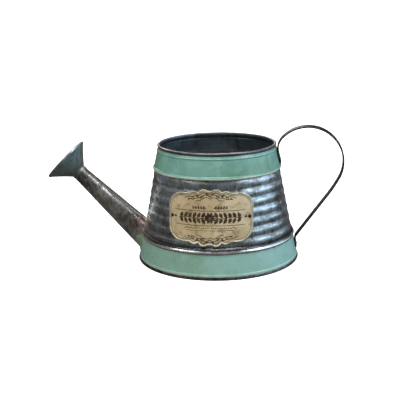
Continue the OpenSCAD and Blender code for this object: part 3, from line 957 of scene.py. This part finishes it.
def zinc_metal(name, pale, mid, dark, brown, rough=(0.34, 0.56), streak=5.0, extra=None):
    """Galvanised sheet: crystal spangle, cloudy patina, drawn streaks and small scratches."""
    m = Shader(name, metallic=ZINC_METALLIC)
    warp = m.node("ShaderNodeTexNoise", {"Vector": m.at, "Scale": 90.0, "Detail": 2.0}).outputs[1]
    bend = m.node("ShaderNodeVectorMath", [warp, (0.006,) * 3, m.at], operation="MULTIPLY_ADD").outputs[0]
    clouds = m.noise(38, 5, 0.62, 0.4)
    streaks = m.noise(80, 6, 0.62, 0.3, m.stretch(1, 1, streak))
    upright = m.noise(380, 4, 0.6, 0.2, m.stretch(1, 1, 0.3))
    fine = m.noise(460, 4, 0.65)
    crystal = m.cells(SPANGLE, bend)
    colour = m.ramp(crystal, [(0.0, mid), (0.5, pale), (1.0, mid)])
    colour = m.blend(clouds, 0.44, 0.64, 0.6, colour, dark)
    colour = m.blend(streaks, 0.5, 0.7, 0.6, colour, dark)
    colour = m.blend(upright, 0.52, 0.66, 0.5, colour, dark)
    colour = m.mix(m.range(m.noise(20, 3), 0.5, 0.66, 0.0, 0.6), colour, brown)
    colour = m.mix(m.range(upright, 0.36, 0.46, 0.5, 0.0), colour, pale)
    colour = m.mix(m.range(streaks, 0.26, 0.42, 0.7, 0.0), colour, pale)
    m.set("base color", colour)
    mixed = m.add(m.mul(clouds, 0.5), m.mul(crystal, 0.5))
    m.set("roughness", m.range(mixed, 0.25, 0.75, *rough))
    m.bump((streaks, 0.0006, 0.3), (upright, 0.0002, 0.3), (crystal, 0.0003, 0.15), (fine, 0.0002, 0.3))
    if extra:
        extra(m, colour)
    return m.mat


def paint_metal(name, low, high, pale, edges):
    """Chalky mint paint with cloudy colour, and along edges of (height, width, amount) bare metal from wear
    and a pale painted highlight.
    """
    m = Shader(name)
    broad, medium = m.noise(14, 3, 0.5), m.noise(65, 5, 0.6)
    base = m.blend(broad, 0.35, 0.65, 1.0, low, high)
    base = m.blend(medium, 0.46, 0.7, 0.5, base, pale)
    base = m.mix(m.range(m.noise(150, 5, 0.65, 0.2, m.stretch(1, 1, 3)), 0.55, 0.8, 0.0, 0.45), base,
                 rgb(96, 134, 116))
    speck = m.range(m.noise(700, 2, 0.5), 0.66, 0.72)
    base = m.mix(m.mul(speck, 0.35), base, rgb(196, 214, 200))
    # One edge mask drives both the real wear and the painted highlight.
    rub_and_highlight = None
    for z, width, amount in edges:
        band = m.mul(m.near(m.z, z * MM, width * MM), amount)
        rub_and_highlight = band if rub_and_highlight is None else m.math("MAXIMUM", rub_and_highlight, band)
    ragged = m.noise(260, 6, 0.7, 0.6)
    worn = m.range(m.add(rub_and_highlight, m.ragged(ragged, 1.3)), 0.92, 1.0)
    chips = m.mul(m.noise(120, 6, 0.72, 0.3), m.range(broad, 0.3, 0.7, 0.8, 0.98))
    chips = m.range(chips, 0.655, 0.675)
    bare = m.math("MAXIMUM", worn, chips)
    # Painted highlight: pale paint along the same beads and edges, standing in for the light that they catch.
    painted_edge_highlight = m.range(m.add(rub_and_highlight, m.ragged(ragged, 0.8)), 0.3, 0.75, 0.0, 0.9)
    base = m.mix(painted_edge_highlight, base, rgb(232, 242, 230))
    m.set("base color", m.mix(bare, base, rgb(74, 70, 68)))
    m.set("metallic", m.mul(bare, 0.7))
    m.set("roughness", m.range(medium, 0.35, 0.7, 0.26, 0.42))
    m.set("coat weight", 0.25)
    m.bump((m.sub(1.0, bare), 0.00012, 0.7), (medium, 0.0008, 0.18),
           (m.noise(900, 3, 0.6), 0.0001, 0.3))
    return m.mat


def inside_metal():
    """Dark, oil-blued sheet of the inside, with a band of painted shade round the inner swage; the top of the
    rim's bead is warmer and lighter, partly worn and partly a painted highlight that grows towards the front.
    """
    m = Shader("inside_sheet", metallic=0.75)
    clouds, streaks = m.noise(22, 4, 0.6, 0.5), m.noise(60, 5, 0.6, 0.2, m.stretch(1, 1, 0.25))
    colour = m.blend(clouds, 0.35, 0.65, 1.0, rgb(94, 106, 118), rgb(124, 138, 150))
    colour = m.blend(streaks, 0.52, 0.75, 0.8, colour, rgb(54, 52, 50))
    # Painted shade: a dark band round the inner swage, to take out the highlight that it catches.
    swage = m.near(m.z, (RIM_Z - SWAGE_DROP) * MM, 4 * MM)
    colour = m.mix(m.mul(swage, 0.8), colour, rgb(50, 54, 58))
    # Painted highlight: the rim bead's top is lighter and pinker towards the front (-Y), standing in for the
    # highlight on its front arc as well as for wear.
    front = m.range(m.y, -30 * MM, 30 * MM, 0.9, 0.4)
    rim = m.mul(m.range(m.z, RIM_Z * MM, (RIM_Z + 1.4) * MM), front)
    rub_and_highlight = m.range(m.add(rim, m.mul(m.noise(190, 5, 0.7), 0.6)), 0.7, 1.0)
    bright = m.blend(streaks, 0.4, 0.6, 1.0, rgb(172, 150, 146), rgb(112, 98, 96))
    m.set("base color", m.mix(rub_and_highlight, colour, bright))
    m.roughen(clouds, 0.38, 0.6)
    m.bump((clouds, 0.0012, 0.15), (m.noise(300, 4, 0.6), 0.0002, 0.3))
    return m.mat


def dark_strip():
    """Near-black baked finish, grey on the hems' outer edges, partly worn metal and partly a painted
    highlight.
    """
    m = Shader("handle_black", metallic=0.55)
    clouds, grain = m.noise(60, 5, 0.6, 0.3), m.noise(340, 5, 0.7, 0.4)
    colour = m.blend(clouds, 0.38, 0.66, 1.0, rgb(26, 23, 21), rgb(44, 39, 36))
    # Grey on the hems' outer edges: wear, and a painted highlight along the strip's edge.
    edge = m.range(m.math("ABSOLUTE", m.y), 5.2 * MM, 7.3 * MM)
    rub_and_highlight = m.range(m.add(m.mul(edge, 0.42), grain), 0.92, 1.08)
    m.set("base color", m.mix(rub_and_highlight, colour, rgb(120, 116, 112)))
    m.roughen(clouds, 0.3, 0.52)
    m.bump((grain, 0.0002, 0.35), (clouds, 0.0008, 0.15))
    return m.mat


def brazing():
    """Lumpy copper-brown braze above, painted over where it meets the lower band."""
    m = Shader("copper_brown")
    lump, spots = m.noise(240, 5, 0.65, 0.4), m.noise(90, 4, 0.6)
    copper = m.blend(lump, 0.4, 0.65, 1.0, rgb(132, 104, 92), rgb(232, 208, 194))
    copper = m.blend(spots, 0.5, 0.7, 1.0, copper, rgb(70, 66, 62))
    edge = m.add(m.z, m.ragged(spots, 12 * MM))
    green = m.range(edge, SHELL_Z0 * MM, (SHELL_Z0 + 2.5) * MM, 1.0, 0.0)
    m.set("base color", m.mix(green, copper, m.mix(lump, rgb(100, 140, 120), rgb(124, 166, 148))))
    m.set("metallic", m.sub(0.85, m.mul(green, 0.85)))
    m.roughen(lump, 0.32, 0.5)
    m.bump((lump, 0.0008, 0.5),)
    return m.mat


def tin_solder():
    m = Shader("soft_solder", metallic=0.9)
    lump = m.noise(320, 5, 0.65, 0.3)
    m.set("base color", m.blend(lump, 0.4, 0.66, 1.0, rgb(158, 158, 152), rgb(92, 90, 86)))
    m.roughen(lump, 0.28, 0.5)
    m.bump((lump, 0.0006, 0.5),)
    return m.mat


def plaque_finish():
    """Cream-brown aged enamel with blotches and foxing."""
    m = Shader("aged_plaque")
    broad, medium, fine = m.noise(26, 4, 0.6, 0.4), m.noise(95, 6, 0.65, 0.5), m.noise(500, 4, 0.6)
    colour = m.blend(broad, 0.36, 0.64, 1.0, rgb(186, 168, 134), rgb(208, 192, 162))
    colour = m.blend(medium, 0.48, 0.7, 0.8, colour, rgb(126, 106, 78))
    colour = m.mix(m.range(m.noise(210, 5, 0.7), 0.58, 0.74, 0.0, 0.75), colour, rgb(104, 84, 58))
    colour = m.blend(fine, 0.55, 0.75, 0.3, colour, rgb(196, 188, 166))
    m.set("base color", colour)
    m.roughen(medium, 0.36, 0.6)
    m.bump((medium, 0.0003, 0.35), (fine, 0.0001, 0.4))
    return m.mat


def plaque_rim_finish():
    m = Shader("plaque_rim", metallic=0.25)
    medium, grain = m.noise(110, 5, 0.65, 0.4), m.noise(420, 4, 0.65)
    colour = m.blend(medium, 0.4, 0.62, 1.0, rgb(206, 206, 188), rgb(160, 160, 142))
    colour = m.blend(grain, 0.56, 0.7, 0.8, colour, rgb(84, 80, 70))
    m.set("base color", colour)
    m.roughen(medium, 0.3, 0.5)
    m.bump((grain, 0.0001, 0.4), (medium, 0.0003, 0.3))
    return m.mat


def print_brown():
    m = Shader("ornament_brown")
    fade, grain = m.noise(120, 5, 0.65), m.noise(600, 4, 0.65)
    colour = m.blend(fade, 0.42, 0.68, 1.0, rgb(42, 32, 24), rgb(80, 62, 44))
    m.set("base color", m.blend(grain, 0.6, 0.72, 0.8, colour, rgb(168, 148, 112)))
    m.roughen(fade, 0.4, 0.65)
    m.bump((grain, 0.0001, 0.4),)
    return m.mat


def black_pin():
    m = Shader("pin_black", metallic=0.6)
    grain = m.noise(500, 5, 0.65)
    m.set("base color", m.blend(grain, 0.45, 0.72, 1.0, rgb(26, 22, 20), rgb(86, 80, 74)))
    m.roughen(grain, 0.3, 0.55)
    m.bump((grain, 0.0002, 0.4),)
    return m.mat


def heat_tint(m, colour):
    """Near the root the zinc is burnt brown and coppery, and the lower band's paint runs over it."""
    spots = m.noise(85, 5, 0.65, 0.5)
    dx = m.add(m.x, (wall_r(SHELL_Z0 + 14) + 8) * MM)
    dz = m.sub(m.z, (SHELL_Z0 + 16) * MM)
    far = m.math("SQRT", m.add(m.mul(dx, dx), m.mul(dz, dz)))
    burnt = m.range(m.add(far, m.ragged(spots, 22 * MM)), 4 * MM, 13 * MM, 0.75, 0.0)
    colour = m.mix(burnt, colour, m.blend(spots, 0.4, 0.6, 1.0, rgb(124, 96, 84), rgb(226, 204, 192)))
    wall = m.sub(wall_r(0) * MM, m.mul(m.z, LEAN))
    out = m.sub(m.mul(m.x, -1.0), wall)
    run = m.add(out, m.ragged(spots, 14 * MM))
    height = m.add(m.z, m.ragged(spots, 10 * MM))
    low = m.range(height, (SHELL_Z0 - 4) * MM, SHELL_Z0 * MM, 1.0, 0.0)
    green = m.mul(m.range(run, 4 * MM, 9 * MM, 1.0, 0.0), low)
    colour = m.mix(green, colour, rgb(134, 160, 134))
    m.set("base color", colour)
    m.set("metallic", m.sub(ZINC_METALLIC, m.mul(green, 0.9)))


def rib_shade_and_highlight(m, colour):
    """Painted light on the ribbed shell: painted shade in the grooves and on the ledge above the lower band,
    painted highlights on the ribs' upper sides and on the bottom bead.
    """
    ragged = m.ragged(m.noise(70, 5, 0.65, 0.2, m.stretch(1, 1, 3)), 3.2)
    turn = m.mul(m.sub(m.z, LAP_Z * MM), 2 * pi / (RIB_PITCH * MM))
    # Painted shade in the grooves, and a painted highlight on each rib's upper side, as light from above
    # would give.
    groove = m.add(m.math("COSINE", turn), ragged)
    crest = m.add(m.math("COSINE", m.sub(turn, 1.3 * pi)), ragged)
    colour = m.blend(groove, 0.3, 1.2, 0.45, colour, rgb(76, 78, 80))
    colour = m.blend(crest, 0.75, 1.3, 0.7, colour, rgb(222, 228, 234))
    # Painted highlight: the shell's bottom bead is made near white.
    bead = m.add(m.near(m.z, (SHELL_Z0 + BEAD_R) * MM, 1.5 * MM), m.mul(ragged, 0.15))
    # Painted shade: the ledge where the ribs step in above the lower band is darkened, to take out the light
    # that it catches.
    painted_ledge_shade = m.add(m.near(m.z, (LAP_Z + 0.8) * MM, 3.4 * MM), m.mul(ragged, 0.1))
    colour = m.blend(painted_ledge_shade, 0.1, 0.5, 0.85, colour, rgb(58, 58, 60))
    m.set("base color", m.blend(bead, 0.2, 0.6, 1.0, colour, rgb(246, 238, 232)))


mint_upper = paint_metal("mint_paint_upper", rgb(98, 142, 120), rgb(116, 168, 162), rgb(138, 190, 192), [
    (BAND_Z, 0.7, 0.9), (BAND_Z + BEAD_R - 0.5, 1.5, 0.78), (RIM_Z - SWAGE_DROP + 0.4, 1.0, 0.45)])
mint_lower = paint_metal("mint_paint_lower", rgb(136, 178, 166), rgb(148, 192, 188), rgb(156, 202, 202), [
    (SEAM_H + 0.8, 1.4, 0.7), (SHELL_Z0, 1.6, 0.75)])
galvanised = zinc_metal("galvanised_sheet", rgb(196, 206, 216), rgb(152, 160, 168), rgb(98, 100, 102),
                        rgb(112, 108, 102), rough=(0.24, 0.42), extra=rib_shade_and_highlight)
spout_zinc = zinc_metal("galvanised_pipe", rgb(220, 220, 218), rgb(168, 168, 166), rgb(76, 76, 74),
                        rgb(92, 88, 82), rough=(0.2, 0.36), streak=1.0, extra=heat_tint)
rose_zinc = zinc_metal("darkened_rose", rgb(178, 200, 210), rgb(152, 168, 174), rgb(126, 126, 120),
                       rgb(148, 138, 124), streak=1.0)
foot_zinc = zinc_metal("darkened_foot", rgb(120, 122, 122), rgb(84, 84, 84), rgb(44, 42, 40), rgb(70, 64, 58))
inner = inside_metal()
handle_black = dark_strip()
braze_mat, solder_mat = brazing(), tin_solder()
plaque_mat, plaque_rim_mat, ornament_mat = plaque_finish(), plaque_rim_finish(), print_brown()
pin_mat = black_pin()


def dress(obj, node, slot, *mats):
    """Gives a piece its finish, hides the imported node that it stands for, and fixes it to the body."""
    obj.data.materials.clear()
    for mat in mats:
        obj.data.materials.append(mat)
    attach(obj, "root")
    if node:
        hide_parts(node)


def two_sides(obj, test):
    """Second material wherever test(face centre and normal, in millimetres) is true."""
    for face in obj.data.polygons:
        face.material_index = 1 if test(face.center / MM, face.normal) else 0


def faces_axis(c, n):
    return n.x * c.x + n.y * c.y < 0


def faces_axis_or_rim(c, n):
    return faces_axis(c, n) or c.z > RIM_Z - 2.8


dress(upper, "upper_band", "mint_paint", mint_upper, inner)
two_sides(upper, faces_axis_or_rim)
dress(shell, "ribbed_shell", "galvanised", galvanised, inner)
two_sides(shell, faces_axis)
dress(lower, "lower_band", "mint_paint", mint_lower, inner)
two_sides(lower, faces_axis)
dress(base, "base_disc", "dark_galvanised", foot_zinc)
dress(spout, "spout_tube", "galvanised", spout_zinc)
dress(braze, "spout_braze", "copper_braze", braze_mat)
dress(funnel, "rose_funnel", "dark_galvanised", rose_zinc)
dress(rose, "rose_face", "dark_galvanised", rose_zinc)
dress(solder, "rose_solder", "solder", solder_mat)
dress(grip, "handle_strip", "dark_galvanised", handle_black)
dress(rivets, "handle_rivets", "solder", solder_mat)
dress(plate, "label_plate", "plaque", plaque_mat, plaque_rim_mat)
two_sides(plate, lambda c, n: outline_gap(c.x, c.z - PLAQUE_Z) > -PLAQUE_EDGE_W)
dress(print_relief, None, "plaque", ornament_mat)
dress(pins, "label_pins", "dark_galvanised", pin_mat)

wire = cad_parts["rim_wire"]
wire.data.materials.clear()
wire.data.materials.append(foot_zinc)


# ---- floor, light and camera ----

def studio():
    """Pale floor that sweeps up into a backdrop."""
    start, turn, bend = -2.2, 1.0, 0.9
    profile = [(start + 0.25 * i, 0.0) for i in range(13)]
    profile += arc((turn, bend), bend, -90, 0, 16)[1:]
    profile += [(turn + bend, 1.4), (turn + bend, 2.6)]
    verts = [Vector((x, y, z)) / MM for y, z in profile for x in (-2.6, -1.3, 0.0, 1.3, 2.6)]
    floor = piece("floor", verts, grid_faces(len(profile), 5))
    m = Shader("pale_floor", roughness=0.7)
    tone = m.noise(3.0, 3, 0.5)
    m.set("base color", m.mix(tone, rgb(244, 244, 244), rgb(248, 248, 248)))
    m.set("emission color", (1.0, 1.0, 1.0, 1.0))
    m.set("emission strength", 0.85)
    floor.data.materials.append(m.mat)
    floor.visible_glossy = False
    floor.visible_diffuse = False


def area_light(name, place, size, power, colour, glossy=True):
    """A soft box that looks at the middle of the can; without glossy it isn't mirrored in the metal."""
    data = bpy.data.lights.new(name, "AREA")
    data.shape, data.size, data.size_y = "RECTANGLE", size[0], size[1]
    data.energy, data.color = power, colour
    lamp = link(bpy.data.objects.new(name, data))
    lamp.location = place
    lamp.rotation_euler = (CAN_MIDDLE - Vector(place)).to_track_quat("-Z", "Y").to_euler()
    lamp.visible_glossy = glossy


CAN_MIDDLE = Vector((0, 0, 0.08))
studio()
area_light("key", (1.2, -0.45, 1.08), (0.45, 0.6), 11, (0.84, 0.94, 1.0))
area_light("side", (1.6, 0.1, 0.55), (1.9, 1.1), 11, (0.64, 0.86, 1.0))
area_light("top", (0.12, -0.3, 1.5), (0.9, 0.22), 10, (1.0, 0.96, 0.94))
area_light("left", (-0.9, -0.7, 1.05), (0.6, 0.25), 6, (1.0, 0.97, 0.92))
area_light("fill", (-0.5, -1.5, 1.0), (1.6, 1.2), 11, (1.0, 0.94, 0.72), glossy=False)
area_light("back", (-0.6, 1.6, 1.1), (1.4, 1.2), 20, (1.0, 0.98, 0.95))

world = bpy.data.worlds.new("studio")
bpy.context.scene.world = world
world.use_nodes = True
sky = world.node_tree.nodes["Background"]
sky.inputs["Color"].default_value = (1.0, 0.95, 0.88, 1.0)
sky.inputs["Strength"].default_value = 0.11

scene = bpy.context.scene
scene.view_settings.view_transform = "Standard"

camera_data = bpy.data.cameras.new("camera")
camera_data.sensor_width, camera_data.lens = 36.0, 72.18
camera = link(bpy.data.objects.new("camera", camera_data))
eye, target, roll = Vector((0.1149, -1.0568, 0.3544)), Vector((-0.02419, 0.0, 0.07692)), radians(-1.16)
look = (target - eye).normalized()
level = look.cross(UP).normalized()
rise = level.cross(look)
right = level * cos(roll) + rise * sin(roll)
up = rise * cos(roll) - level * sin(roll)
camera.matrix_world = Matrix((right, up, -look)).transposed().to_4x4()
camera.location = eye
scene.camera = camera
